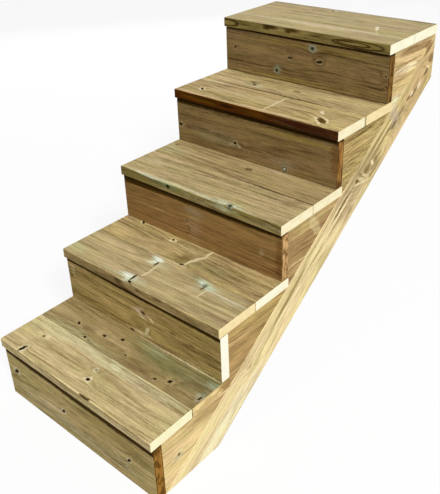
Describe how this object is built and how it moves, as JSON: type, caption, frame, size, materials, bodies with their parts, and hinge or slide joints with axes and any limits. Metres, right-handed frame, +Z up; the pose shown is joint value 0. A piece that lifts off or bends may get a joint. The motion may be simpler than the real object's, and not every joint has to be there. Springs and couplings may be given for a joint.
{
  "type": "wooden deck stairs",
  "caption": "Straight flight of pressure-treated timber deck stairs with closed risers, two-board treads and built-up stringers that hang on a deck's rim.",
  "frame": {"origin": "the middle of the back edge face of the top step, half way up its thickness, on the plane where the flight bears on the deck's rim", "axes": "+X across the flight, to the right of someone walking up; +Y towards the deck; +Z up"},
  "size_m": [0.62, 1.317, 0.92],
  "materials": {
    "tread_boards": "planed, weathered pressure-treated pine",
    "riser_boards": "planed pressure-treated pine",
    "stringer_planks": "planed pressure-treated pine",
    "step_blocks": "sawn pressure-treated pine"
  },
  "bodies": {
    "root": {"tread_1_front_board": "tread_boards", "tread_1_back_board": "tread_boards", "riser_1": "riser_boards", "tread_2_front_board": "tread_boards", "tread_2_back_board": "tread_boards", "riser_2": "riser_boards", "tread_3_front_board": "tread_boards", "tread_3_back_board": "tread_boards", "riser_3": "riser_boards", "tread_4_front_board": "tread_boards", "tread_4_back_board": "tread_boards", "riser_4": "riser_boards", "tread_5_front_board": "tread_boards", "tread_5_back_board": "tread_boards", "riser_5": "riser_boards", "left_stringer_plank": "stringer_planks", "left_step_block_1": "step_blocks", "left_step_block_2": "step_blocks", "left_step_block_3": "step_blocks", "left_step_block_4": "step_blocks", "left_step_block_5": "step_blocks", "right_stringer_plank": "stringer_planks", "right_step_block_1": "step_blocks", "right_step_block_2": "step_blocks", "right_step_block_3": "step_blocks", "right_step_block_4": "step_blocks", "right_step_block_5": "step_blocks"}
  },
  "joints": []
}
